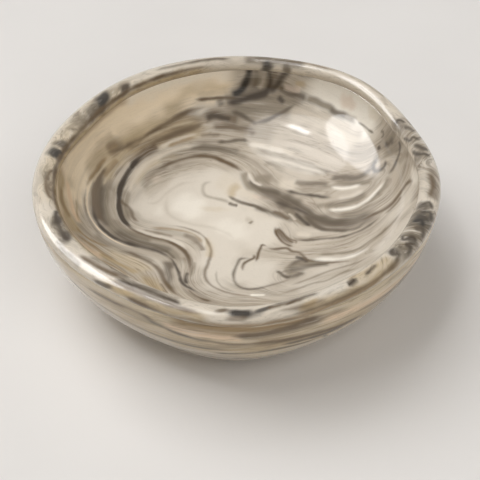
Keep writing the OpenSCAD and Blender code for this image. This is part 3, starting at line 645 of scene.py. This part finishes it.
for clay, width, blur, share, points in [
    ("bark", 0.9, 0.6, 0.85, [(226, 24.8), (236, 25.4), (243, 26), (250, 24.6)]),
    ("umber", 0.8, 0.5, 0.8, [(246, 24.6), (254, 22.8), (263, 21.2)]),
    ("bark", 0.7, 0.5, 0.7, [(259, 22.2), (270, 21), (281, 21.4)]),
    ("bark", 1.3, 0.5, 0.85, [(268, 24.4), (273, 24.6), (279, 25.2), (286, 26.2), (293, 26.8)]),
    ("bark", 0.9, 0.5, 0.85, [(274, 20.8), (282, 20.6), (290, 19.6), (299, 18.4), (308, 18)]),
    ("umber", 1.1, 0.5, 0.8, [(281, 18.6), (288, 18), (295, 17.2), (302, 17.4)]),
    ("slate", 0.8, 0.5, 0.8, [(262, 15.6), (272, 16), (283, 16.4), (292, 15.4)]),
    ("umber", 0.8, 0.4, 0.8, [(294, 16.4), (295.4, 15), (296, 13.4)]),
    ("slate", 0.8, 0.45, 0.8, [(214, 22.6), (226, 20.6), (240, 18.8), (256, 17.8), (270, 18.4)]),
    ("bark", 0.7, 0.5, 0.7, [(228, 14.6), (246, 12.6), (266, 11.6), (286, 11.4), (304, 13)]),
    ("slate", 0.7, 0.5, 0.7, [(232, 8), (256, 6.6), (282, 6.4), (306, 8.6), (330, 12)]),
    ("bark", 0.8, 0.4, 0.8, [(303, 21.6), (314, 21.2), (326, 22.8), (338, 24.6), (348, 25.4)]),
    ("slate", 0.8, 0.5, 0.7, [(312, 14), (326, 16.4), (342, 18.6), (358, 19.2)]),
    ("bark", 0.9, 0.5, 0.8, [(2, 18), (30, 19.6), (60, 18.4), (92, 20)]),
    ("slate", 0.8, 0.5, 0.8, [(20, 9), (50, 11), (90, 9.6), (130, 12), (168, 11)]),
    ("umber", 1.1, 0.5, 0.85, [(64, 23), (78, 24.4), (92, 24), (104, 22.4)]),
    ("bark", 0.9, 0.5, 0.8, [(110, 17.6), (134, 19.6), (160, 18), (186, 20.4), (206, 19)]),
    ("slate", 0.8, 0.5, 0.7, [(150, 13.6), (176, 15), (202, 13.4), (222, 12)]),
    ("slate", 0.7, 0.45, 0.7, [(176, 23), (196, 23.6), (212, 22.2)]),
]:
    wall.thread(clay, width, blur, share, at_wall(points))
around = 45 * np.stack([np.cos(turn), np.sin(turn)], 1)[outside]
wall_level = 0.75 * place[:, 1] + 1.3 * np.sin(2 * turn[outside] + 1) + 0.5 * ripple(around, 7)

# The bare foot: broad bands of the sheet's underside run across it
bare = (FOOT_ROWS[row[under]] * np.stack([np.cos(turn), np.sin(turn)])[:, under]).T
sole = Slab(bare, "sand", 0.8)
for clay, width, blur, share, points in [
    ("ash", 8, 3, 0.8, [(-34, -14), (-8, -9), (12, -13), (34, -8)]),
    ("tan", 6, 3, 0.8, [(-34, 3), (-10, 6), (10, 2), (34, 6)]),
    ("smoke", 5, 3, 0.6, [(-34, 15), (-8, 19), (14, 15), (34, 19)]),
    ("peach", 6, 3, 0.7, [(-34, -24), (0, -21), (34, -24)]),
]:
    sole.band(clay, width, blur, share, points)
sole_level = 0.8 * bare[:, 1] + 0.16 * bare[:, 0]


def store(mesh, name, kind, values):
    layer = mesh.attributes.new(name, kind, "POINT")
    layer.data.foreach_set("color" if kind == "FLOAT_COLOR" else "vector", values.ravel())


def lay_clays(piece, parts):
    """Keep the slabs' colours, strands and threads on the piece's points."""
    count = len(piece.data.vertices)
    ground = np.zeros((count, 4))
    strand = np.zeros((count, 3))
    depth = max(len(slab.layers) for _, slab, _ in parts)
    for where, slab, along in parts:
        ground[where] = np.c_[slab.colour, slab.contrast]
        strand[where] = along
    store(piece.data, "ground", "FLOAT_COLOR", ground)
    store(piece.data, "strand", "FLOAT_VECTOR", strand)
    for i in range(depth):
        line, clay = np.tile([9.0, 0.0, 0.3], (count, 1)), np.zeros((count, 4))
        for where, slab, _ in parts:
            if i < len(slab.layers):
                line[where], clay[where] = slab.layers[i]["line"], slab.layers[i]["clay"]
        store(piece.data, "line_%d" % i, "FLOAT_VECTOR", line)
        store(piece.data, "clay_%d" % i, "FLOAT_COLOR", clay)
    return depth


LONG = 20
bowl_threads = lay_clays(bowl, [
    (inside, hollow, np.c_[hollow_level, flat / LONG]),
    (outside, wall, np.c_[wall_level + 40, around / 18 + 9]),
    (under, sole, np.c_[sole_level + 140, bare / 16]),
])


class Shade:
    """A socket of a material: sums on it add Math nodes, and node() adds any other node."""

    def __init__(self, tree, socket):
        self.tree, self.socket = tree, socket

    def node(self, kind, settings=None, values=None, out=0):
        made = self.tree.nodes.new(kind)
        for name, value in (settings or {}).items():
            if name == "stops":
                while len(made.color_ramp.elements) < len(value):
                    made.color_ramp.elements.new(1)
                for stop, (at, colour) in zip(made.color_ramp.elements, value):
                    stop.position, stop.color = at, (*colour, 1)
            else:
                setattr(made, name, value)
        for name, value in (values or {}).items():
            if isinstance(value, Shade):
                self.tree.links.new(value.socket, made.inputs[name])
            else:
                made.inputs[name].default_value = value
        return Shade(self.tree, made.outputs[out])

    def math(self, operation, *values):
        return self.node("ShaderNodeMath", {"operation": operation}, dict(enumerate(values)))

    def __add__(self, other): return self.math("ADD", self, other)
    def __radd__(self, other): return self.math("ADD", other, self)
    def __sub__(self, other): return self.math("SUBTRACT", self, other)
    def __rsub__(self, other): return self.math("SUBTRACT", other, self)
    def __mul__(self, other): return self.math("MULTIPLY", self, other)
    def __rmul__(self, other): return self.math("MULTIPLY", other, self)
    def __abs__(self): return self.math("ABSOLUTE", self)

    def step(self, low, high, bottom=0, top=1):
        return self.node("ShaderNodeMapRange", {"interpolation_type": "SMOOTHSTEP"},
                         {"Value": self, "From Min": low, "From Max": high,
                          "To Min": bottom, "To Max": top})

    def mix(self, share, other, blend="MIX"):
        return self.node("ShaderNodeMix", {"data_type": "RGBA", "blend_type": blend},
                         {0: share, 6: self, 7: other}, out=2)

    def noise(self, scale, detail=2, rough=0.5, out=0):
        return self.node("ShaderNodeTexNoise", {}, {"Vector": self, "Scale": scale, "Detail": detail,
                                                    "Roughness": rough}, out)


def rgba(name):
    return (*[float(c) for c in CLAY[name]], 1)


def glazed_clay(name, threads, foot_bare):
    """Marbled clay under a clear gloss coat."""
    material = bpy.data.materials.new(name)
    material.use_nodes = True
    tree = material.node_tree
    surface = next(n for n in tree.nodes if n.type == "BSDF_PRINCIPLED")
    start = Shade(tree, None)

    def kept(attribute, out):
        return start.node("ShaderNodeAttribute", {"attribute_name": attribute}, {}, out)

    ground, contrast = kept("ground", "Color"), kept("ground", "Alpha")
    strand = kept("strand", "Vector")
    place = start.node("ShaderNodeTexCoord", {}, {}, "Object")
    # strands of the rolled clays: broad soft ones, then thin dark and pale ones
    broad = strand.noise(0.55, 3, 0.6)
    fine = strand.noise(1.7, 3, 0.55)
    colour = ground
    colour = colour.mix(broad.step(0.5, 0.36) * contrast * 0.6, rgba("slate"))
    colour = colour.mix(broad.step(0.53, 0.66) * contrast * 0.6, rgba("cream"))
    colour = colour.mix(fine.step(0.46, 0.34) * contrast * 0.6, rgba("slate"))
    colour = colour.mix(abs(broad - 0.5).step(0.02, 0) * contrast * 0.5, rgba("bark"))
    colour = colour.mix(fine.step(0.56, 0.68) * contrast * 0.5, rgba("cream"))
    # single threads, whose edges waver a little
    waver = (place.noise(260, 2) - 0.5) * 0.7 + (place.noise(900, 1) - 0.5) * 0.3
    swell = place.noise(170, 1).step(0.32, 0.62)
    for i in range(threads):
        line = kept("line_%d" % i, "Vector").node("ShaderNodeSeparateXYZ", {}, {"Vector": kept(
            "line_%d" % i, "Vector")})
        parts = line.socket.node.outputs
        left, half, blur = (Shade(tree, parts[k]) for k in range(3))
        edge = abs(left + waver * 0.6) - half * (swell * 0.3 + 0.85)
        share = edge.math("DIVIDE", blur * 1.3 - edge, blur * 2.6).step(0, 1)
        share = share * kept("clay_%d" % i, "Alpha") * (swell * 0.25 + 0.85)
        colour = colour.mix(share.math("MINIMUM", share, 1), kept("clay_%d" % i, "Color"))
    # grain of the clay itself
    grain = place.noise(2600, 3, 0.7)
    colour = colour.mix(grain.step(0.5, 0.75) * 0.10, rgba("slate"))
    tree.links.new(colour.socket, surface.inputs["Base Color"])
    tree.links.new(grain.step(0.3, 0.7, 0.45, 0.65).socket, surface.inputs["Roughness"])
    surface.inputs["Specular IOR Level"].default_value = 0.2
    surface.inputs["Coat Roughness"].default_value = 0.1
    surface.inputs["Coat IOR"].default_value = 1.5
    if foot_bare:
        height = place.node("ShaderNodeSeparateXYZ", {}, {"Vector": place}, 2)
        tree.links.new(height.step(0.85 * MM, 0.95 * MM).socket, surface.inputs["Coat Weight"])
    else:
        surface.inputs["Coat Weight"].default_value = 1
    relief = start.node("ShaderNodeBump", {}, {"Strength": 0.15, "Distance": 0.0002, "Height": grain})
    tree.links.new(relief.socket, surface.inputs["Normal"])
    return material


bowl.data.materials.append(glazed_clay("marbled_slab_clay", bowl_threads, True))
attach(bowl, "root")
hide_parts("dish_body", "clear_coat")

# ---------------------------------------------------------------------------------------------
# The rim coil: a thin coil of the same clays with more of the near-black, rolled round the bowl's
# edge into a shallow saddle and pressed on by hand, under the same clear coat.
crown = [(SKIN_R[i], SKIN_Z[i]) for i in range(WALL, CROWN + 1)]
coil_section = crown + saddle_rows()[::-1]
coil, coil_row, coil_step = spun("rim_coil_glazed", [s[0] for s in coil_section],
                                 [s[1] for s in coil_section], ring=True)
COIL_ROUND = 2 * math.pi * 47.5 / 360
COIL_ACROSS = 0.042
crown_angle = SEAM_OUT + (SEAM_IN - SEAM_OUT) * np.minimum(coil_row, CROWN_ROWS) / CROWN_ROWS
spot = np.stack([TURN[coil_step] * COIL_ROUND, crown_angle * COIL_ACROSS], 1)
rolled = Slab(spot, "shell", 0.35, around=360 * COIL_ROUND)


def at_coil(points):
    return [(angle * COIL_ROUND, across * COIL_ACROSS) for angle, across in points]


for clay, width, blur, share, contrast, points in [
    ("ash", 4, 1.5, 0.6, 0.4, [(28, 70), (50, 80), (70, 85), (90, 90), (120, 90)]),
    ("ash", 6, 2, 0.6, 1.5, [(-4, 100), (8, 102), (18, 104), (28, 108)]),
    ("smoke", 3, 1.4, 0.7, 1, [(2, 110), (10, 100), (20, 112)]),
    ("slate", 3.4, 1.4, 0.8, 0.6, [(66, 104), (78, 110), (89, 108)]),
    ("tan", 3.2, 1.1, 0.85, 0.5, [(96, 192), (115, 185), (140, 180), (180, 176), (212, 170), (232, 160)]),
    ("sand", 3, 1.4, 0.7, 1, [(126, 110), (150, 100), (180, 110), (200, 112)]),
    ("smoke", 3.4, 1.4, 0.85, 1.2, [(150, 118), (158, 110)]),
    ("bark", 1.4, 0.8, 0.8, 0.6, [(159.6, 112), (161, 128)]),
    ("smoke", 3.2, 1.4, 0.8, 1.2, [(203, 118), (209, 108), (216, 104)]),
    ("slate", 1.2, 0.7, 0.8, 0.6, [(213, 56), (219, 42), (226, 34)]),
    ("bark", 3, 1.5, 0.75, 0.6, [(224, 126), (232, 124), (240, 120)]),
    ("smoke", 2.4, 1.2, 0.7, 1, [(236, 82), (246, 84), (256, 80)]),
    ("cream", 4, 1.5, 0.95, 0.3, [(288, 74), (294, 70), (301, 72)]),
    ("tan", 2.6, 1.1, 0.75, 0.4, [(284, 34), (300, 32), (318, 40)]),
    # Painted shade: brown along the underside of the coil at the front, where it overhangs the wall
    ("ochre", 1.5, 0.7, 0.9, 0.3, [(258, -6), (270, -10), (284, -8), (300, 4), (312, 12)]),
    ("bark", 1.6, 0.9, 0.8, 0.4, [(240, -4), (251, 2), (264, 8)]), ("tan", 2.2, 1, 0.7, 0.4, [(232, 28), (248, 30), (264, 26)]),
    ("tan", 2, 1, 0.7, 0.6, [(300, 100), (308, 96), (316, 96)]),
    ("smoke", 6, 2.2, 0.85, 1.6, [(316, 74), (326, 78), (336, 84), (341, 88)]),
    ("bark", 2.4, 1.2, 0.7, 0.8, [(343, 66), (351, 70), (360, 78)]),
]:
    rolled.band(clay, width, blur, share, at_coil(points), contrast)
for clay, share, angle, across, rx, ry, tilt in [
    ("slate", 0.8, 73, 172, 1.2, 2.2, 10), ("pitch", 0.9, 80, 176, 1.5, 2.4, -12),
    ("umber", 0.95, 133, 128, 2, 1.3, 30), ("pitch", 1, 143, 112, 4.2, 1.7, 20),
    ("slate", 0.9, 149, 118, 3.4, 1.5, 12), ("smoke", 0.8, 156, 112, 2.6, 1.5, -10),
    ("umber", 0.9, 169, 124, 1.5, 1.9, -12), ("pitch", 0.95, 174, 108, 2.2, 1.5, 30),
    ("umber", 0.9, 206, 122, 2.2, 1.1, -40), ("umber", 0.9, 214, 104, 2.4, 1.1, -24),
    ("umber", 0.8, 234, 12, 2.8, 0.7, 6), ("bark", 0.8, 245, 4, 3.2, 0.7, -4),
    ("tan", 0.8, 240, 28, 2.6, 0.7, 8), ("slate", 0.7, 246, 108, 3.4, 0.8, 4),
    ("pitch", 1, 271, 70, 3.2, 1.0, -8), ("pitch", 0.9, 276.6, 84, 2, 0.6, 14),
    ("bark", 0.8, 266, 84, 1.2, 0.6, 20), ("bark", 0.7, 270, 40, 2.4, 0.6, 0),
    ("umber", 0.9, 284, 96, 1.3, 0.4, 16), ("tan", 0.8, 288, 52, 2.2, 0.7, 10),
    ("umber", 0.9, 318, 100, 1.2, 1.6, 20), ("umber", 0.9, 325, 66, 1.6, 1.4, 50),
    ("pitch", 0.9, 334, 84, 2.2, 2.4, 30), ("umber", 0.85, 340, 110, 1.6, 1.8, 10),
]:
    rolled.patch(clay, share, angle * COIL_ROUND, across * COIL_ACROSS, rx, ry, tilt, 0.15)
for clay, width, blur, share, points in [
    ("umber", 0.9, 0.35, 0.85, [(4, 60), (5.4, 90), (6.4, 130), (10, 156)]),
    ("umber", 1.2, 0.5, 0.8, [(8, 52), (8.4, 84), (11.6, 124)]),
    ("umber", 0.8, 0.35, 0.85, [(12.4, 74), (14.6, 104), (14, 132), (18, 164)]),
    ("umber", 1.3, 0.5, 0.8, [(17, 66), (19.6, 92), (20, 118)]),
    ("umber", 0.7, 0.35, 0.8, [(22, 84), (24.6, 110), (24, 150)]),
    ("bark", 0.6, 0.4, 0.6, [(36, 70), (42, 84), (48, 76)]),
    ("bark", 0.6, 0.4, 0.6, [(58, 100), (66, 92), (74, 104)]),
    ("bark", 0.9, 0.4, 0.9, [(98, 154), (112, 151), (130, 150), (150, 148), (170, 147), (192, 146), (216, 142)]),
    ("slate", 0.8, 0.4, 0.8, [(92, 108), (100, 98), (110, 104), (120, 96)]),
    ("pitch", 1.1, 0.4, 0.8, [(172, 140), (173.4, 120), (176.4, 112)]),
    ("bark", 0.7, 0.35, 0.8, [(181, 138), (184, 116), (189, 104), (194, 112), (197, 134)]),
    ("bark", 0.6, 0.35, 0.7, [(187, 134), (190, 120), (193, 132)]),
    ("umber", 0.8, 0.35, 0.9, [(201, 140), (204, 118), (210, 100), (217, 92)]),
    ("umber", 0.8, 0.4, 0.9, [(236, 70), (241, 84), (247, 92), (253, 86), (256, 74)]),
    ("bark", 0.8, 0.4, 0.8, [(234, 54), (243, 60), (252, 58), (262, 50)]),
    ("bark", 0.8, 0.4, 0.8, [(222, 76), (230, 84), (238, 98)]),
    ("bark", 0.7, 0.4, 0.85, [(277, 84), (281, 92), (288, 98)]),
    ("slate", 0.8, 0.5, 0.8, [(279, 106), (285, 110), (292, 104)]),
    ("bark", 0.7, 0.5, 0.7, [(280, 60), (286, 52), (293, 48)]),
    ("umber", 1.1, 0.6, 0.9, [(299.6, 72), (301, 80), (303, 90)]),
    ("umber", 0.8, 0.4, 0.85, [(305.6, 82), (308, 92), (311, 101)]),
    ("bark", 0.9, 0.5, 0.8, [(309, 30), (314, 40), (318, 44)]),
    ("bark", 0.6, 0.45, 0.7, [(282, 24), (294, 22), (306, 26), (318, 28)]),
    ("umber", 0.8, 0.35, 0.85, [(315, 40), (318, 66), (316.6, 92), (319, 120)]),
    ("umber", 1.1, 0.45, 0.85, [(320, 26), (322.6, 50), (322, 84)]),
    ("umber", 0.7, 0.35, 0.85, [(325.6, 44), (326, 76), (323.6, 104), (326, 130)]),
    ("umber", 1.2, 0.5, 0.85, [(328, 24), (330.6, 54), (329, 96)]),
    ("pitch", 0.8, 0.35, 0.9, [(331.4, 60), (333.6, 84), (332, 124)]),
    ("pitch", 1.1, 0.45, 0.85, [(335.6, 34), (338, 64), (336.4, 108)]),
    ("umber", 0.7, 0.35, 0.85, [(339.6, 56), (342, 84), (340, 122)]),
    ("bark", 0.8, 0.45, 0.8, [(344, 90), (350, 80), (356, 96)]),
]:
    rolled.thread(clay, width, blur, share, at_coil(points))
# The strands run along the coil, and lean across it where it was twisted
ring = 47.5 * np.stack([np.cos(np.radians(TURN[coil_step])), np.sin(np.radians(TURN[coil_step]))], 1)
coil_level = spot[:, 1] + 0.9 * ripple(ring, 3.4)
for angle in (12, 330):
    away = TURN[coil_step] - angle
    away -= 360 * np.round(away / 360)
    lean = np.exp(-(away / 16) ** 4)
    coil_level += lean * (0.7 * COIL_ROUND * away - 0.6 * spot[:, 1])
coil_threads = lay_clays(coil, [(np.ones(len(spot), bool), rolled,
                                 np.c_[coil_level * 0.6 + 90, ring / 7])])
coil.data.materials.append(glazed_clay("marbled_coil_clay", coil_threads, False))
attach(coil, "root")
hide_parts("rim_coil")

# ---------------------------------------------------------------------------------------------
# The table top under the dish, in plain pale plaster. It isn't part of the object.
top = bmesh.new()
bmesh.ops.create_grid(top, x_segments=1, y_segments=1, size=3)
table_mesh = bpy.data.meshes.new("table_top")
top.to_mesh(table_mesh)
top.free()
table = bpy.data.objects.new("table_top", table_mesh)
bpy.context.scene.collection.objects.link(table)
plaster = bpy.data.materials.new("pale_plaster")
plaster.use_nodes = True
plaster_tree = plaster.node_tree
plaster_surface = next(n for n in plaster_tree.nodes if n.type == "BSDF_PRINCIPLED")
plaster_start = Shade(plaster_tree, None)
plaster_place = plaster_start.node("ShaderNodeTexCoord", {}, {}, "Object")
pale, paler = (*linear((224, 221, 218)), 1), (*linear((229, 226, 223)), 1)
mottle = plaster_place.noise(9, 3).step(0.3, 0.7)
tone = plaster_start.node("ShaderNodeMix", {"data_type": "RGBA"}, {0: mottle, 6: pale, 7: paler}, out=2)
plaster_tree.links.new(tone.socket, plaster_surface.inputs["Base Color"])
plaster_surface.inputs["Roughness"].default_value = 0.8
plaster_surface.inputs["Specular IOR Level"].default_value = 0.1
table_mesh.materials.append(plaster)

# ---------------------------------------------------------------------------------------------
# The light: a big soft window to the left and a little behind, a small lamp high at the left, and
# an even pale room round them.


def lamp(name, azimuth, elevation, distance, width, height, radiance, lights=True, shines=True):
    light = bpy.data.lights.new(name, "AREA")
    light.shape = "RECTANGLE" if lights else "ELLIPSE"
    light.size, light.size_y = width, height
    light.energy = radiance * math.pi * width * height
    a, e = math.radians(azimuth), math.radians(elevation)
    holder = bpy.data.objects.new(name, light)
    holder.location = (distance * math.cos(e) * math.cos(a), distance * math.cos(e) * math.sin(a),
                       distance * math.sin(e) + 0.02)
    holder.rotation_euler = (math.pi / 2 - e, 0, a + math.pi / 2)
    holder.visible_diffuse, holder.visible_glossy = lights, shines
    bpy.context.scene.collection.objects.link(holder)


lamp("soft_box", 150, 58, 2.4, 1.9, 1.9, 3.6, shines=False)
lamp("front_fill", -52, 50, 2.4, 1.6, 1.6, 2.1, shines=False)
lamp("window", 177, 31, 2.4, 2.3, 2.1, 5.4, lights=False)
lamp("pale_wall", 186, 64, 2.4, 2.6, 2.2, 2.4, lights=False)
lamp("high_lamp", -150, 65, 1.6, 0.30, 0.11, 14)

world = bpy.data.worlds.new("pale_room")
bpy.context.scene.world = world
world.use_nodes = True
room = Shade(world.node_tree, None)
room_surface = next(n for n in world.node_tree.nodes if n.type == "BACKGROUND")
ray = room.node("ShaderNodeLightPath", {}, {}, "Is Camera Ray")
glossy = Shade(world.node_tree, ray.socket.node.outputs["Is Glossy Ray"])
clear = Shade(world.node_tree, ray.socket.node.outputs["Is Transmission Ray"])
seen = ray.math("MAXIMUM", ray, glossy.math("MAXIMUM", glossy, clear))
way = room.node("ShaderNodeTexCoord", {}, {}, "Generated")
toward = way.node("ShaderNodeVectorMath", {"operation": "DOT_PRODUCT"}, {0: way, 1: (0.24, -0.62, 0.75)},
                  "Value")
sky = toward.node("ShaderNodeValToRGB", {"stops": [(0, (0.02, 0.019, 0.018)), (1, (0.40, 0.385, 0.36))]},
                  {"Fac": toward})
room_tone = room.node("ShaderNodeMix", {"data_type": "RGBA"},
                      {0: seen, 6: sky, 7: (*linear((226, 222, 217)), 1)}, out=2)
world.node_tree.links.new(room_tone.socket, room_surface.inputs["Color"])

bpy.context.scene.view_settings.view_transform = "Standard"
